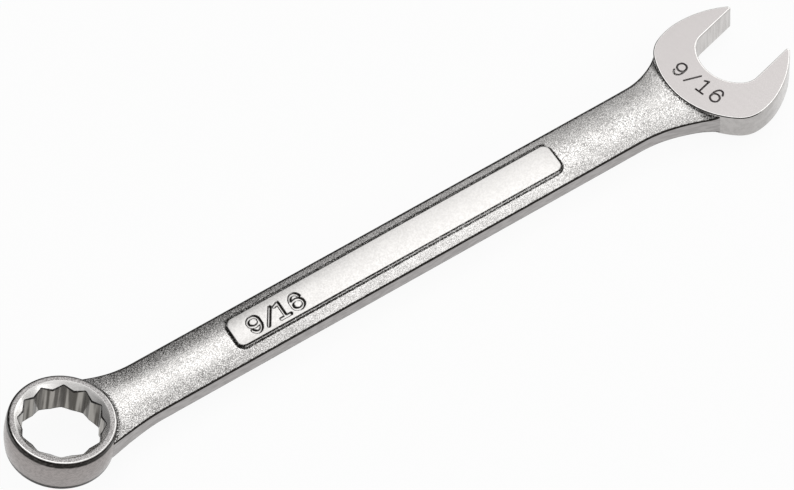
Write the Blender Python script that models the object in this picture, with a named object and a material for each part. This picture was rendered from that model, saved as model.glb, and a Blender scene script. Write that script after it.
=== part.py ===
"""A combination wrench: 12-point box end, raised-panel shank and 15 degree open end."""

import math

import bmesh
import bpy
from mathutils import Vector

MM = 0.001

# Nut size and overall layout
ACROSS_FLATS = 14.29 * MM
JAW_CLEARANCE = 0.16 * MM
SOCKET_CLEARANCE = 0.11 * MM
CENTRE_DISTANCE = 146.2 * MM

# Box end
BOX_DIAMETER = 21.2 * MM
BOX_THICKNESS = 8.2 * MM
BOX_TILT = math.radians(15.0)
BOX_RISE = 2.6 * MM
BOX_DRAFT = 0.35 * MM
BOX_EDGE_RADIUS = 0.45 * MM
LEAD_IN_WIDTH = 0.7 * MM
LEAD_IN_SLOPE = math.radians(50.0)
LEAD_IN_OVERRUN = 1.2 * MM
POINT_FLAT = 0.3 * MM

# Shank
SHANK_WIDTH = 12.2 * MM
SHANK_EDGE_THICKNESS = 3.35 * MM
SHANK_CROWN_THICKNESS = 5.3 * MM
SHANK_EDGE_BREAK = 0.3 * MM
PANEL_LENGTH = 71.9 * MM
PANEL_WIDTH = 6.5 * MM
PANEL_HEIGHT = 0.5 * MM
PANEL_CORNER_RADIUS = 1.4 * MM
PANEL_DRAFT = math.radians(30.0)

# Open end, seen square to the jaws
HEAD_DIAMETER = 26.8 * MM
HEAD_THICKNESS = 6.2 * MM
HEAD_OFFSET = 0.55 * MM
HEAD_CORNER_RADIUS = 6.0 * MM
HEAD_EDGE_BREAK = 0.3 * MM
JAW_ANGLE = math.radians(15.0)
JAW_PROJECTION = 1.5 * MM
JAW_SIDE_RADIUS = 21.0 * MM
JAW_TIP_WIDTH = 0.75 * MM
THROAT_DEPTH = 1.6 * MM
THROAT_RADIUS = 8.7 * MM
THROAT_CORNER_RADIUS = 4.0 * MM
BACK_REACH = 9.8 * MM
BACK_RADIUS = 18.0 * MM

# Necks
BOX_FLARE_RADIUS = 30.0 * MM
BOX_NECK_THICKENING = 1.4 * MM
FAR_FLARE_RADIUS = 12.5 * MM
FAR_FLARE_ANGLE = math.radians(46.0)
NEAR_FLARE_RADIUS = 26.0 * MM
NEAR_FLARE_ANGLE = math.radians(75.5)
OPEN_NECK_THICKENING = 1.5 * MM
NECK_FILLET = 1.0 * MM
NECK_OVERLAP = 0.4 * MM
NECK_BURIED = 5.0 * MM
NECK_BEND_LENGTH = 5.0 * MM

# Smoothness of the curved faces
RING_STEPS = 72
CROWN_STEPS = 14
ARC_STEP = math.radians(6.0)


def arc(centre, radius, start, end):
    """Points of a circular arc, both ends included."""
    steps = max(2, math.ceil(abs(end - start) / ARC_STEP))
    angles = [start + (end - start) * i / steps for i in range(steps + 1)]
    return [(centre[0] + radius * math.cos(a), centre[1] + radius * math.sin(a)) for a in angles]


def steel(name, colour, roughness):
    """A plated steel finish."""
    finish = bpy.data.materials.new(name)
    finish.use_nodes = True
    shader = finish.node_tree.nodes["Principled BSDF"]
    shader.inputs["Base Color"].default_value = (*colour, 1.0)
    shader.inputs["Metallic"].default_value = 1.0
    shader.inputs["Roughness"].default_value = roughness
    return finish


def add_object(name, bm, parent, finish=None):
    """Turns a bmesh into an object; without a finish it is a hidden helper."""
    bmesh.ops.remove_doubles(bm, verts=bm.verts, dist=1e-7)
    bmesh.ops.recalc_face_normals(bm, faces=bm.faces)
    mesh = bpy.data.meshes.new(name)
    bm.to_mesh(mesh)
    bm.free()
    obj = bpy.data.objects.new(name, mesh)
    bpy.context.collection.objects.link(obj)
    obj.parent = parent
    if finish:
        mesh.materials.append(finish)
    else:
        obj.hide_render = True
        obj.display_type = "WIRE"
    return obj


def combine(obj, helper, operation):
    """Joins a helper to an object, or cuts the object with it."""
    modifier = obj.modifiers.new(helper.name, "BOOLEAN")
    modifier.operation = operation
    modifier.solver = "EXACT"
    modifier.object = helper


def loft(rings):
    """A closed body through rings of points that all have the same count."""
    bm = bmesh.new()
    loops = [[bm.verts.new(point) for point in ring] for ring in rings]
    count = len(loops[0])
    for here, there in zip(loops, loops[1:]):
        for i in range(count):
            j = (i + 1) % count
            bm.faces.new((here[i], here[j], there[j], there[i]))
    bm.faces.new(loops[0])
    bm.faces.new(list(reversed(loops[-1])))
    return bm


def section(x, near, far, edge=SHANK_EDGE_THICKNESS, level=None, rise=None, bow=None):
    """One cross-section of the bar, from -near to +far: crowned faces and straight sides.

    level gives the height of the bar's middle along it, and rise the height of a face near a wall.
    A bowed section isn't flat: bow gives how far along the bar each point across it lies.
    """
    middle = (far - near) / 2
    half = (far + near) / 2
    flat = 1 - SHANK_EDGE_BREAK / half
    across = [flat * math.cos(math.pi * i / CROWN_STEPS) for i in range(CROWN_STEPS + 1)]
    crown = (SHANK_CROWN_THICKNESS - (SHANK_EDGE_THICKNESS + edge) / 2) / 2
    faces = []
    for side in (1, -1):
        face = []
        for t in across:
            y = middle + half * t
            along = x + bow(y) if bow else x
            height = edge / 2 + crown * (1 - t * t)
            if rise:
                height = rise(along, y, height, side)
            middle_z = level(along) if level else 0.0
            face.append((along, y, middle_z + side * height))
        faces.append(face)
    top, bottom = faces
    wall = edge / 2 - SHANK_EDGE_BREAK
    sides = []
    for along, y in ((top[-1][0], -near), (top[0][0], far)):
        middle_z = level(along) if level else 0.0
        sides.append([(along, y, middle_z + wall), (along, y, middle_z - wall)])
    near_wall, far_wall = sides
    return top + near_wall + list(reversed(bottom)) + list(reversed(far_wall))


def spaced(start, end, count):
    """Evenly spaced values, both ends included."""
    return [start + (end - start) * i / count for i in range(count + 1)]


def fillet(distance, step):
    """Height that a hollow rounding adds at a distance from a wall this much taller."""
    near = min(max(1 - distance / NECK_FILLET, 0.0), 1.0)
    return step * (1 - math.sqrt(1 - near * near))


def box_flare():
    """Centre of the flare that runs from the bar's edge into the ring, and where it meets the ring."""
    ring = BOX_DIAMETER / 2 - NECK_OVERLAP
    offset = SHANK_WIDTH / 2 + BOX_FLARE_RADIUS
    reach = math.sqrt((ring + BOX_FLARE_RADIUS) ** 2 - offset**2)
    return reach, reach * ring / (ring + BOX_FLARE_RADIUS)


def box_neck_width(x):
    """Half width of the box-end neck."""
    reach, meeting = box_flare()
    run = min(max(reach - x, 0.0), reach - meeting)
    return SHANK_WIDTH / 2 + BOX_FLARE_RADIUS - math.sqrt(BOX_FLARE_RADIUS**2 - run**2)


def box_neck_level(x):
    """Height of the neck's middle: level with the bar, then bending up into the tilted ring."""
    bend = BOX_RISE / math.tan(BOX_TILT)
    run = bend + NECK_BEND_LENGTH - x
    if run <= 0:
        return 0.0
    if run >= 2 * NECK_BEND_LENGTH:
        return (bend - x) * math.tan(BOX_TILT)
    return run**2 / (4 * NECK_BEND_LENGTH) * math.tan(BOX_TILT)


def box_rise(x, y, height, side):
    """Rounds the neck's face up into the ring's wall."""
    level = box_neck_level(x)
    axis = (level + side * height - BOX_RISE) * math.tan(BOX_TILT)
    ring = BOX_DIAMETER / 2 - BOX_DRAFT / 2
    distance = math.hypot((x - axis) * math.cos(BOX_TILT), y) - ring
    top = BOX_THICKNESS / 2 / math.cos(BOX_TILT) + side * (BOX_RISE - x * math.tan(BOX_TILT) - level)
    step = max(top - BOX_EDGE_RADIUS - height, 0.0)
    return height + fillet(distance, step)


def box_neck():
    """The neck between ring and bar; its inner end is inside the ring."""
    reach = box_flare()[0]
    split = box_split()
    wall = BOX_DIAMETER / 2
    curve = BOX_DIAMETER / 2 + NECK_FILLET
    inner = wall - NECK_BURIED
    outer = wall + 2 * NECK_FILLET
    start = wall - NECK_FILLET
    stations = spaced(inner, start, 4) + spaced(start, outer, 12)[1:] + spaced(outer, split, 5)[1:]
    rings = []
    for x in stations:
        blend = min((split - x) / (split - outer), 1.0)
        bow = lambda y: blend * (math.sqrt(max(curve**2 - y**2, 0.0)) - curve)
        half = box_neck_width(x)
        half = box_neck_width(x + bow(half))
        thicker = BOX_NECK_THICKENING * min(max((reach - x) / (reach - wall), 0.0), 1.0) ** 2
        edge = SHANK_EDGE_THICKNESS + thicker
        rings.append(section(x, half, half, edge, box_neck_level, box_rise, bow))
    return loft(rings)


def ring_body():
    """The solid ring blank: flat faces, rounded edges and a slightly barrelled wall."""
    half = BOX_THICKNESS / 2
    waist = BOX_DIAMETER / 2
    rim = waist - BOX_DRAFT
    shoulder = half - BOX_EDGE_RADIUS
    upper = arc((rim - BOX_EDGE_RADIUS, shoulder), BOX_EDGE_RADIUS, math.pi / 2, 0.0)
    wall = [(waist - BOX_DRAFT * t * t, shoulder * t) for t in (0.75, 0.5, 0.25)]
    side = [(0.0, half)] + upper + wall
    profile = side + [(waist, 0.0)] + [(r, -z) for r, z in reversed(side)]
    bm = bmesh.new()
    turn = math.pi / RING_STEPS / 2
    verts = [bm.verts.new((r * math.cos(turn), r * math.sin(turn), z)) for r, z in profile]
    edges = [bm.edges.new(pair) for pair in zip(verts, verts[1:])]
    bmesh.ops.spin(
        bm,
        geom=verts + edges,
        cent=(0, 0, 0),
        axis=(0, 0, 1),
        angle=math.tau,
        steps=RING_STEPS,
        use_merge=True,
    )
    return bm


def twelve_points():
    """Corners, as angle and radius, of two hexagons turned 30 degrees; one blunt point faces the shank."""
    flat = (ACROSS_FLATS + SOCKET_CLEARANCE) / 2
    turn = math.asin(POINT_FLAT / 2 * math.cos(math.radians(30)) / flat)
    along = [math.radians(degrees) for degrees in (5, 10, 15, 20, 25)]
    corners = []
    for i in range(12):
        for step in [turn] + along + [math.radians(30) - turn]:
            off_flat = math.radians(30) - min(step, math.radians(30) - step)
            corners.append((math.radians(30 * i) + step, flat / math.cos(off_flat)))
    return corners


def socket():
    """Cutter for the socket: the twelve points, opened by a lead-in cone at each face of the ring."""
    corners = twelve_points()
    mouth = max(radius for _, radius in corners) + LEAD_IN_WIDTH
    face = BOX_THICKNESS / 2
    rim = mouth + LEAD_IN_OVERRUN * math.tan(LEAD_IN_SLOPE)
    outside = []
    inside = []
    for angle, radius in corners:
        depth = (mouth - radius) / math.tan(LEAD_IN_SLOPE)
        outside.append((rim * math.cos(angle), rim * math.sin(angle), face + LEAD_IN_OVERRUN))
        inside.append((radius * math.cos(angle), radius * math.sin(angle), face - depth))
    lower = [[(x, y, -z) for x, y, z in ring] for ring in (outside, inside)]
    return loft(lower + [inside, outside])


def box_split():
    """Where the box end stops and the shank starts."""
    return box_flare()[0] + 3.0 * MM


def open_flare(side):
    """Start of a flare on the shank's edge, its radius, and the half width where it enters the head."""
    radius, angle = NEAR_FLARE_RADIUS, NEAR_FLARE_ANGLE
    if side > 0:
        radius, angle = FAR_FLARE_RADIUS, FAR_FLARE_ANGLE
    head = HEAD_DIAMETER / 2 - NECK_OVERLAP
    width = head * math.sin(angle) - side * HEAD_OFFSET
    sweep = math.acos(1 - (width - SHANK_WIDTH / 2) / radius)
    start = CENTRE_DISTANCE - head * math.cos(angle) - radius * math.sin(sweep)
    return start, radius, width


def open_neck_width(x, side):
    """Half width of the open-end neck on one side."""
    start, radius, width = open_flare(side)
    run = min(max(x - start, 0.0), radius)
    return min(SHANK_WIDTH / 2 + radius - math.sqrt(radius**2 - run**2), width)


def open_split():
    """Where the shank stops and the open end starts."""
    return min(open_flare(1)[0], open_flare(-1)[0]) - 2.0 * MM


def open_rise(x, y, height, side):
    """Rounds the neck's face up into the back of the head."""
    away = Vector((x - CENTRE_DISTANCE, y + HEAD_OFFSET))
    centre = Vector((math.cos(JAW_ANGLE), math.sin(JAW_ANGLE))) * (BACK_RADIUS - BACK_REACH)
    distance = (away - centre).length - BACK_RADIUS
    step = max(HEAD_THICKNESS / 2 - HEAD_EDGE_BREAK - height, 0.0)
    return height + fillet(distance, step)


def open_neck():
    """The neck between bar and head; its inner end is inside the head."""
    split = open_split()
    back_x = CENTRE_DISTANCE + math.cos(JAW_ANGLE) * (BACK_RADIUS - BACK_REACH)
    back_y = math.sin(JAW_ANGLE) * (BACK_RADIUS - BACK_REACH) - HEAD_OFFSET
    wall = back_x - math.sqrt(BACK_RADIUS**2 - back_y**2)
    inner = wall + NECK_BURIED
    outer = wall - 2 * NECK_FILLET
    stations = spaced(split, outer, 7) + spaced(outer, wall, 8)[1:] + spaced(wall, inner, 5)[1:]
    rings = []
    for x in stations:
        blend = min((x - split) / (outer - split), 1.0)
        bow = lambda y: blend * (back_x - wall - math.sqrt(BACK_RADIUS**2 - (y - back_y) ** 2))
        near = open_neck_width(x, -1)
        near = open_neck_width(x + bow(-near), -1)
        far = open_neck_width(x, 1)
        far = open_neck_width(x + bow(far), 1)
        edge = SHANK_EDGE_THICKNESS + OPEN_NECK_THICKENING * ((x - split) / (inner - split)) ** 2
        rings.append(section(x, near, far, edge, rise=open_rise, bow=bow))
    return loft(rings)


def head_outline():
    """Outline of the open end with its jaw gap, in the jaws' own axes with the head's centre as origin."""
    jaw = (ACROSS_FLATS + JAW_CLEARANCE) / 2
    disc = HEAD_DIAMETER / 2
    throat = THROAT_RADIUS - THROAT_DEPTH
    round_y = jaw - THROAT_CORNER_RADIUS
    round_x = throat - math.sqrt((THROAT_RADIUS - THROAT_CORNER_RADIUS) ** 2 - round_y**2)
    throat_end = math.atan2(round_y, round_x - throat)
    gap = arc((throat, 0.0), THROAT_RADIUS, math.pi, throat_end)
    gap += arc((round_x, round_y), THROAT_CORNER_RADIUS, throat_end, math.pi / 2)[1:]

    reach = math.sqrt((disc + JAW_PROJECTION) ** 2 - (jaw + JAW_TIP_WIDTH) ** 2)
    tip = Vector((reach, jaw + JAW_TIP_WIDTH))
    spare = JAW_SIDE_RADIUS - disc
    along = (2 * JAW_SIDE_RADIUS * disc - disc**2 - tip.length_squared) / (2 * spare)
    tangent = math.atan2(tip.y, tip.x) + math.acos(along / tip.length)
    centre = Vector((math.cos(tangent), math.sin(tangent))) * -spare
    start = math.atan2(tip.y - centre.y, tip.x - centre.x)
    jaw_side = arc(centre, JAW_SIDE_RADIUS, start, tangent)

    back = BACK_RADIUS - BACK_REACH
    inside_disc = disc - HEAD_CORNER_RADIUS
    inside_back = BACK_RADIUS - HEAD_CORNER_RADIUS
    corner_x = (inside_disc**2 - inside_back**2 + back**2) / (2 * back)
    corner_y = math.sqrt(inside_disc**2 - corner_x**2)
    corner_start = math.atan2(corner_y, corner_x)
    corner_end = math.atan2(corner_y, corner_x - back)
    disc_side = arc((0.0, 0.0), disc, tangent, corner_start)
    corner_side = arc((corner_x, corner_y), HEAD_CORNER_RADIUS, corner_start, corner_end)
    back_side = arc((back, 0.0), BACK_RADIUS, corner_end, math.pi)

    nose = [(reach - HEAD_EDGE_BREAK, jaw), (reach, jaw + HEAD_EDGE_BREAK)]
    far = gap + nose + jaw_side + disc_side[1:] + corner_side[1:] + back_side[1:]
    near = [(x, -y) for x, y in reversed(far)]
    return far + near[1:-1]


def inset(outline, amount):
    """The outline moved inward, each corner along the bisector of its two edges."""
    moved = []
    for i, here in enumerate(outline):
        here = Vector(here)
        before = (here - Vector(outline[i - 1])).normalized()
        after = (Vector(outline[(i + 1) % len(outline)]) - here).normalized()
        normal = Vector((-(before.y + after.y), before.x + after.x)).normalized()
        scale = amount / max(normal.dot(Vector((-before.y, before.x))), 0.5)
        moved.append(here + normal * scale)
    return moved


def head_body():
    """The flat head with broken edges at both faces."""
    outline = head_outline()
    small = inset(outline, HEAD_EDGE_BREAK)
    half = HEAD_THICKNESS / 2
    wall = half - HEAD_EDGE_BREAK
    levels = ((small, -half), (outline, -wall), (outline, wall), (small, half))
    return loft([[(x, y, z) for x, y in points] for points, z in levels])


def rounded_rectangle(length, width, radius):
    """Outline of a rectangle with round corners, about the origin."""
    outline = []
    for turn, (sx, sy) in enumerate(((1, 1), (-1, 1), (-1, -1), (1, -1))):
        centre = (sx * (length / 2 - radius), sy * (width / 2 - radius))
        outline += arc(centre, radius, turn * math.pi / 2, (turn + 1) * math.pi / 2)
    return outline


def panels():
    """One drafted block through the bar that stands out of both faces as the raised panels."""
    top = SHANK_CROWN_THICKNESS / 2 + PANEL_HEIGHT
    base = SHANK_EDGE_THICKNESS / 4
    rings = []
    for z in (-top, -base, base, top):
        grow = (top - abs(z)) * math.tan(PANEL_DRAFT)
        size = (PANEL_LENGTH + 2 * grow, PANEL_WIDTH + 2 * grow, PANEL_CORNER_RADIUS + grow)
        rings.append([(x, y, z) for x, y in rounded_rectangle(*size)])
    return loft(rings)


def main():
    for obj in list(bpy.data.objects):
        bpy.data.objects.remove(obj)

    polished_box = steel("polished_chrome_box_end", (0.76, 0.75, 0.74), 0.22)
    satin = steel("satin_chrome_shank", (0.68, 0.67, 0.66), 0.38)
    polished_open = steel("polished_chrome_open_end", (0.76, 0.75, 0.74), 0.22)

    wrench = bpy.data.objects.new("wrench", None)
    bpy.context.collection.objects.link(wrench)

    box_end = add_object("box_end", box_neck(), wrench, polished_box)
    ring = add_object("ring_body", ring_body(), wrench)
    cutter = add_object("socket_cutter", socket(), wrench)
    for helper in (ring, cutter):
        helper.location.z = BOX_RISE
        helper.rotation_euler.y = BOX_TILT
    combine(box_end, ring, "UNION")
    combine(box_end, cutter, "DIFFERENCE")

    half = SHANK_WIDTH / 2
    bar = loft([section(x, half, half) for x in (box_split(), open_split())])
    shank = add_object("shank", bar, wrench, satin)
    panel = add_object("panel_body", panels(), wrench)
    panel.location.x = CENTRE_DISTANCE / 2
    combine(shank, panel, "UNION")

    open_end = add_object("open_end", open_neck(), wrench, polished_open)
    head = add_object("head_body", head_body(), wrench)
    head.location = (CENTRE_DISTANCE, -HEAD_OFFSET, 0.0)
    head.rotation_euler.z = JAW_ANGLE
    combine(open_end, head, "UNION")

    # The origin is under the middle of the wrench, level with its lowest point
    bpy.context.view_layer.update()
    graph = bpy.context.evaluated_depsgraph_get()
    corners = [Vector(c) for obj in (box_end, shank, open_end) for c in obj.evaluated_get(graph).bound_box]
    low = Vector(map(min, zip(*corners)))
    high = Vector(map(max, zip(*corners)))
    wrench.location = (-(low.x + high.x) / 2, -(low.y + high.y) / 2, -low.z)


main()
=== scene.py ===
"""A chrome combination wrench lying on a pale floor: ring, shank with raised panels, and open end."""

import math

import bpy
import numpy as np
from mathutils import Matrix, Vector
from mathutils.geometry import tessellate_polygon


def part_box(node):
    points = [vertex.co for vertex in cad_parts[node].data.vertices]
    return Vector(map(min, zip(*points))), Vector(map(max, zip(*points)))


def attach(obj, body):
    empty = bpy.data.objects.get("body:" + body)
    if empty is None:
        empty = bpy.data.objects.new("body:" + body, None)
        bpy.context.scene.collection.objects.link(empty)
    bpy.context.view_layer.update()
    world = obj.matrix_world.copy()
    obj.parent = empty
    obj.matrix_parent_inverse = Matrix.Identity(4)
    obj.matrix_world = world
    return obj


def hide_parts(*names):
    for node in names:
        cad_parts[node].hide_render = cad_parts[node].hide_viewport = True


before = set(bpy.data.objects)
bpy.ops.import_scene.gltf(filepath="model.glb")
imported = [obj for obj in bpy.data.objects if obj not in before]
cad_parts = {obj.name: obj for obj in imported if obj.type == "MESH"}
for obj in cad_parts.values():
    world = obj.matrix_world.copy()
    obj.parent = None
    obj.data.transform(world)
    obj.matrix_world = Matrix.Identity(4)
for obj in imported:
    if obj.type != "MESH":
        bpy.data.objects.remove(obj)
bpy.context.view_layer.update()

MM = 0.001

# Sizes in millimetres, in the wrench's own axes: x along the shank from the ring's centre, z up. The two
# sets of shares place the rows of points down a lead-in cone and down half of the bore
JAW_HALF = 7.225
SOCKET_HALF = 7.2
CENTRE_DISTANCE = 146.2

RING_RADIUS = 10.6
RING_HALF_HEIGHT = 4.1
RING_TILT = math.radians(15.0)
RING_RISE = 2.6
RING_BARREL = 0.35
RING_ROUND = 0.45
LEAD_IN_WIDTH = 0.7
LEAD_IN_SLOPE = math.radians(50.0)
LEAD_IN_ROUND = 0.08
LEAD_IN_SHARES = (0.35, 0.7, 0.79, 0.85, 1.0)
BORE_SHARES = (0.97, 0.93, 0.5, 0.0)
SOCKET_POINTS = 12
POINT_SPACING = math.tau / SOCKET_POINTS
POINT_FLAT = 0.3

BAR_HALF_WIDTH = 6.1
BAR_EDGE_HALF = 1.675
BAR_CROWN = 0.975
BAR_ROUND = 0.3
PANEL_MIDDLE = CENTRE_DISTANCE / 2
PANEL_HALF_LENGTH = 35.95
PANEL_HALF_WIDTH = 3.25
PANEL_TOP = 3.15
PANEL_CROWN = 0.09
PANEL_CORNER = 1.4
PANEL_DRAFT = math.radians(30.0)
PANEL_ROUND = 0.16
PANEL_FILLET = 0.2
PANEL_REACH = 1.5
PANEL_TOP_EDGE = 0.02

HEAD_RADIUS = 13.4
HEAD_HALF_HEIGHT = 3.1
HEAD_OFFSET = 0.55
HEAD_CORNER = 6.0
HEAD_ROUND = 0.22
HEAD_RIM = 0.06
JAW_ANGLE = math.radians(15.0)
JAW_PROJECTION = 1.5
JAW_SIDE_RADIUS = 21.0
JAW_TIP_WIDTH = 0.75
JAW_NOSE = 0.3
THROAT_DEPTH = 1.6
THROAT_RADIUS = 8.7
THROAT_CORNER = 4.0
BACK_REACH = 9.8
BACK_RADIUS = 18.0

# The round back of the head: its arc's centre, along the jaws' axis and in the wrench's axes, and its middle
BACK_CENTRE = BACK_RADIUS - BACK_REACH
BACK_X = CENTRE_DISTANCE + BACK_CENTRE * math.cos(JAW_ANGLE)
BACK_Y = BACK_CENTRE * math.sin(JAW_ANGLE) - HEAD_OFFSET
HEAD_WALL = BACK_X - math.sqrt(BACK_RADIUS**2 - BACK_Y**2)

BOX_FLARE_RADIUS = 30.0
BOX_THICKENING = 0.7
FAR_FLARE = (12.5, math.radians(46.0))
NEAR_FLARE = (26.0, math.radians(75.5))
OPEN_THICKENING = 0.75
THICK_PAST_WALL = 5.0
NECK_FILLET = 1.0
HEEL_FILLET = 2.6
HEEL_FADE = (8.6, 4.0)
NECK_OVERLAP = 0.4
RING_OVERLAP = 0.16
NECK_BEND = 5.0
BOW_MARGIN = 2.0
BURIED_IN_RING = 1.2
BURIED_IN_HEAD = 3.0
BOX_PLANE_PAST_FLARE = 3.0
OPEN_PLANE_BEFORE_FLARE = 2.0

# Sunk size numbers: their sizes and each sign's place along the line, then where the line starts. shift is
# the move that tells the right sides of the strokes from the left ones
PANEL_NUMBERS = {"height": 3.45, "half_stroke": 0.18, "depth": 0.34, "slope": 0.26, "shift": (0.28, -0.1),
                 "nine": 0.0, "bar": (2.1, 4.2), "one": 5.9, "six": 9.1}
PANEL_NUMBERS_AT = (41.8, -2.1)
HEAD_NUMBERS = {"height": 2.95, "half_stroke": 0.07, "depth": 0.24, "slope": 0.14, "shift": (0.09, -0.07),
                "nine": 0.0, "bar": (2.3, 4.15), "one": 6.25, "six": 9.5}
HEAD_NUMBERS_AT = (-6.35, 5.2)
NUMBERS_MARGIN = 0.5
NUMBERS_PITCH = 0.07
DIGIT_HALF_WIDTH = 1.3

# Where the bar's grid is finer: at the feet of ring and head, the panel's ends and sides, and its numbers
FOOT_STRETCH = 1.4
PAST_HEAD_WALL = 0.1
PANEL_END_STRETCH = (0.7, 1.5)
PANEL_SIDE_STRETCH = (3.0, 3.95)
NUMBERS_STRETCH = (-2.3, 1.6)
NUMBERS_END = 53.2

# Painted shade: darkening painted where shade falls, at the feet of panel, ring and head, along edges and
# towards the sides. A line is its strength and where it starts, is full, fades and ends; a slope is its
# strength and where it is nothing and full; a range is only those two places. All places are in millimetres
PANEL_END_LINE = (3.6, 0.02, 0.1, 0.44, 0.6)
PANEL_END_ALONG = (-1.2, -0.4)
PANEL_END_ACROSS = (3.0, 1.85)
FAR_FOOT_LINE = (1.4, 0.02, 0.1, 0.85, 1.15)
FAR_FOOT_STOP = (0.1, -0.3)
FAR_RIDGE = (-0.14, -0.06)
FAR_RIDGE_END = 0.1
NEAR_RIDGE_LINE = (1.0, -0.06, 0.0, 0.12, 0.18)
NEAR_FOOT_LINE = (1.0, 0.26, 0.34, 0.44, 0.6)
NEAR_LEAST = 1.8
NEAR_MORE = (2.0, 90.0, 45.0)
RING_FOOT_SHADE = (1.0, 0.8, 0.35)
HEAD_FOOT_SHADE = (1.0, 0.5, 0.25)
HEAD_CORNER_SHADE = (0.85, 2.8, 0.4)
HEAD_CORNER_ACROSS = (-5.5, -9.5)
FAR_STRIP_MOST = 0.34
FAR_STRIP_LOSS = (0.24, 50.0, 110.0)
FAR_STRIP_ACROSS = (3.3, 4.0)
BOX_NECK_FAR = (0.65, 0.0, 5.2)
BOX_NECK_FAR_ALONG = (85.0, 30.0)
BOX_NECK_NEAR = (0.32, 1.0, 4.2)
BOX_NECK_NEAR_ALONG = (62.0, 28.0)
OPEN_NECK = (0.2, 104.0, 114.0)
BAR_FAR_EDGE = (4.0, 0.3, 0.1)
HEAD_BACK_EDGE = (1.0, 1.0, 3.5)
HEAD_BACK_WALL = (0.2, -5.0, 1.0)

# Painted shade that is placed by the share of a rounding or of the ring's wall, or by an angle
BAR_EDGE_LINE = (6.0, 0.0, 0.25, 0.97, 1.0)
RING_WALL_LIFTS = (0.0, 0.2, 0.4, 0.6, 0.76, 0.83, 1.0)
RING_WALL_SHADE = (0, 0, 0, 0.02, 0.1, 1, 1)
RING_POINT_SHADE = (0.7, 0.06, 0.02)
RIM_LINE_LEAST = math.radians(62)
RIM_LINE_MORE = (math.radians(36), -0.3, 0.4)
RIM_LINE_FADE = math.radians(12)

# Painted shade in the sunk numbers: on the right sides of the strokes, where their shadow falls, on all
# slopes, on the floor, and at most
PANEL_NUMBER_SIDE = 3.6
PANEL_NUMBER_SLOPE = 7.0
PANEL_NUMBER_MOST = 1.1
HEAD_NUMBER_SIDE = 2.4
HEAD_NUMBER_FLOOR = 0.85

# What the finishes share: how much slow tone is in the grain, the spans of noise that make tone and that
# speckle the painted shade and the roughness, and the colour of the painted shade
SLOW_SHARE = 0.15
TONE_SPAN = (0.41, 0.59)
GRAIN_SPAN = (0.35, 0.65)
PAINTED_SHADE_COLOUR = "#282624"

# The photograph's camera, in degrees and millimetres, with its target in the wrench's own axes
CAMERA_ANGLES = {"azimuth": -24.111, "elevation": 58.552, "roll": -8.225}
CAMERA_TARGET = (74.041, 1.376, 0.0)
CAMERA_DISTANCE = 671.1
CAMERA_LENS = 158.69
CAMERA_SENSOR = 36.0
CAMERA_CLIP = 50.0

# The floor, in metres: its half width, its gap under the wrench, and how far out its own white fades; then
# the shares of that white: far out, to the camera and in reflections
FLOOR_HALF = 4.0
FLOOR_GAP = 0.0002
FLOOR_FADE = (0.16, 0.6)
FLOOR_FAR_SHARE = 0.15
FLOOR_SEEN = 0.92
FLOOR_REFLECTED = 0.8

# The room's light by its height from 0 to 1 along a tilted upright, and how pale it is to the camera
ROOM_UP = (0.42, 0.0, 0.907)
ROOM_LEVELS = ((0.0, 0.12), (0.4, 0.22), (0.5, 0.5), (0.66, 0.66), (0.8, 0.8), (0.9, 1.05), (1.0, 1.15))
ROOM_SEEN = 0.92

# Soft boxes, all aimed at the origin: name, place and size in metres, and level
SOFT_BOXES = (("back_box", (0.3, 0.62, 1.4), (1.1, 0.6), 0.85),
              ("side_box", (1.04, 0.81, 1.07), (0.6, 0.6), 1.1),
              ("front_box", (0.1, -1.1, 0.52), (1.4, 0.6), 1.1),
              ("right_box", (1.5, -0.1, 0.3), (0.9, 0.6), 1.1),
              ("left_box", (-1.45, 0.0, 0.58), (0.9, 0.7), 0.9))


def linear(colour):
    """An sRGB hex colour as linear red, green, blue and alpha."""
    shares = [int(colour[i:i + 2], 16) / 255 for i in (1, 3, 5)]
    return (*[s / 12.92 if s <= 0.04045 else ((s + 0.055) / 1.055) ** 2.4 for s in shares], 1.0)


def smooth_min(a, b, blend):
    """The smaller of two heights, with the crease between them rounded over this blend."""
    return np.minimum(a, b) - np.maximum(blend - np.abs(a - b), 0) ** 2 / (4 * blend)


def smooth_max(a, b, blend):
    """The larger of two heights, with the crease between them rounded over this blend."""
    return -smooth_min(-a, -b, blend)


def rise(value, start, end):
    """0 before start, 1 after end, and a smooth step between them; start may be the larger one."""
    share = np.clip((value - start) / (end - start), 0, 1)
    return share * share * (3 - 2 * share)


def slope(value, strength, start, end):
    """0 before start and this strength after end, with a smooth step between them."""
    return strength * rise(value, start, end)


def line(value, strength, start, full, fading, end):
    """This strength from full to fading, easing to 0 at start and at end."""
    return strength * rise(value, start, full) * rise(value, end, fading)


def joined(start, *stretches):
    """Rising values from start through stretches of (end, count of values), without repeats."""
    values = []
    for end, count in stretches:
        values.append(np.linspace(start, end, count))
        start = end
    return np.unique(np.concatenate(values).round(5))


def quads(rows, columns, wrap_rows=False, wrap_columns=False):
    """Corner numbers of the quads between neighbouring points of a grid of rows and columns."""
    i = np.arange(rows if wrap_rows else rows - 1)[:, None]
    j = np.arange(columns if wrap_columns else columns - 1)[None, :]
    below = i * columns
    above = (i + 1) % rows * columns
    right = (j + 1) % columns
    return np.stack((below + j, below + right, above + right, above + j), axis=-1)


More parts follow.
